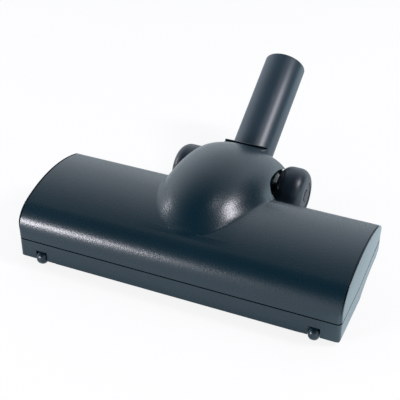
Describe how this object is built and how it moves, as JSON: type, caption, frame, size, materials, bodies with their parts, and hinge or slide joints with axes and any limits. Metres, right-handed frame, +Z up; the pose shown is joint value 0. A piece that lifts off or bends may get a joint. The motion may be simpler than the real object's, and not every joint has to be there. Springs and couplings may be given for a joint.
{
  "type": "vacuum turbo brush",
  "caption": "Air-driven floor brush head with a curved cover, domed neck hood, tilting and swivelling wand tube, rear wheels and front rollers.",
  "frame": {"origin": "centre of the bounding box on the floor under the front rollers and rear wheels, with the neck as it stands", "axes": "+X along the width to the right seen from the front, +Y from the front face to the neck, +Z up"},
  "size_m": [0.29, 0.2854, 0.1082],
  "materials": {
    "shell": "fine moulded grain, satin",
    "inner_plastic": "plain moulded",
    "turbine_plastic": "smooth moulded",
    "steel": "turned",
    "brass": "turned",
    "rubber": "matt",
    "wheel_rubber": "satin",
    "bristle": "nylon filament tufts",
    "felt": "short pile"
  },
  "bodies": {
    "housing": {"top_cover": "shell", "base_housing": "shell", "sole_plate": "inner_plastic", "lint_strips": "felt", "cover_screws": "steel", "roller_pin_left": "steel", "roller_pin_right": "steel", "brush_bearing_left": "rubber", "brush_bearing_right": "rubber", "drive_belt": "rubber", "turbine_bearing_left": "steel", "turbine_bearing_right": "steel", "turbine_case_lower": "inner_plastic", "turbine_case_upper": "inner_plastic", "drum_seal": "felt", "wheel_pin_left": "steel", "wheel_pin_right": "steel"},
    "sole_lock_left": {"lock_left": "inner_plastic"},
    "sole_lock_right": {"lock_right": "inner_plastic"},
    "roller_left": {"front_roller_left": "shell"},
    "roller_right": {"front_roller_right": "shell"},
    "brush": {"brush_core_left": "inner_plastic", "brush_core_right": "inner_plastic", "bristle_strips": "bristle", "brush_shaft": "steel", "brush_pulley": "inner_plastic"},
    "turbine": {"turbine_wheel": "turbine_plastic", "turbine_shaft": "steel", "drive_pulley": "brass"},
    "elbow": {"neck_elbow": "shell", "neck_seal": "rubber"},
    "neck": {"neck_tube": "shell", "neck_ring": "steel"},
    "rear_wheel_left": {"wheel_hub_left": "inner_plastic", "wheel_tyre_left": "wheel_rubber"},
    "rear_wheel_right": {"wheel_hub_right": "inner_plastic", "wheel_tyre_right": "wheel_rubber"}
  },
  "joints": [
    {"name": "neck_tilt", "type": "hinge", "parent": "housing", "child": "elbow", "pos_m": [0, 0.01835, 0.024], "axis": [1, 0, 0], "range_deg": [-30.5, 3]},
    {"name": "neck_swivel", "type": "hinge", "parent": "elbow", "child": "neck", "pos_m": [0, 0.01835, 0.024], "axis": [0, 0.8616, 0.5075], "continuous": true},
    {"name": "wheel_left_spin", "type": "hinge", "parent": "housing", "child": "rear_wheel_left", "pos_m": [-0.05075, 0.01835, 0.024], "axis": [1, 0, 0], "continuous": true},
    {"name": "wheel_right_spin", "type": "hinge", "parent": "housing", "child": "rear_wheel_right", "pos_m": [0.05075, 0.01835, 0.024], "axis": [1, 0, 0], "continuous": true},
    {"name": "roller_left_spin", "type": "hinge", "parent": "housing", "child": "roller_left", "pos_m": [-0.1235, -0.13655, 0.0062], "axis": [1, 0, 0], "continuous": true},
    {"name": "roller_right_spin", "type": "hinge", "parent": "housing", "child": "roller_right", "pos_m": [0.1235, -0.13655, 0.0062], "axis": [1, 0, 0], "continuous": true},
    {"name": "brush_spin", "type": "hinge", "parent": "housing", "child": "brush", "pos_m": [0, -0.10865, 0.025], "axis": [1, 0, 0], "continuous": true, "deforming": ["drive_belt"]},
    {"name": "turbine_spin", "type": "hinge", "parent": "housing", "child": "turbine", "pos_m": [0, -0.05265, 0.046], "axis": [1, 0, 0], "continuous": true, "deforming": ["drive_belt"]},
    {"name": "lock_left_turn", "type": "hinge", "parent": "housing", "child": "sole_lock_left", "pos_m": [-0.1225, -0.09025, 0.006], "axis": [0, 0, 1], "range_deg": [0, 90]},
    {"name": "lock_right_turn", "type": "hinge", "parent": "housing", "child": "sole_lock_right", "pos_m": [0.1225, -0.09025, 0.006], "axis": [0, 0, 1], "range_deg": [0, 90]}
  ],
  "couplings": [
    {"joint": "turbine_spin", "follows": "brush_spin", "ratio": 2}
  ]
}
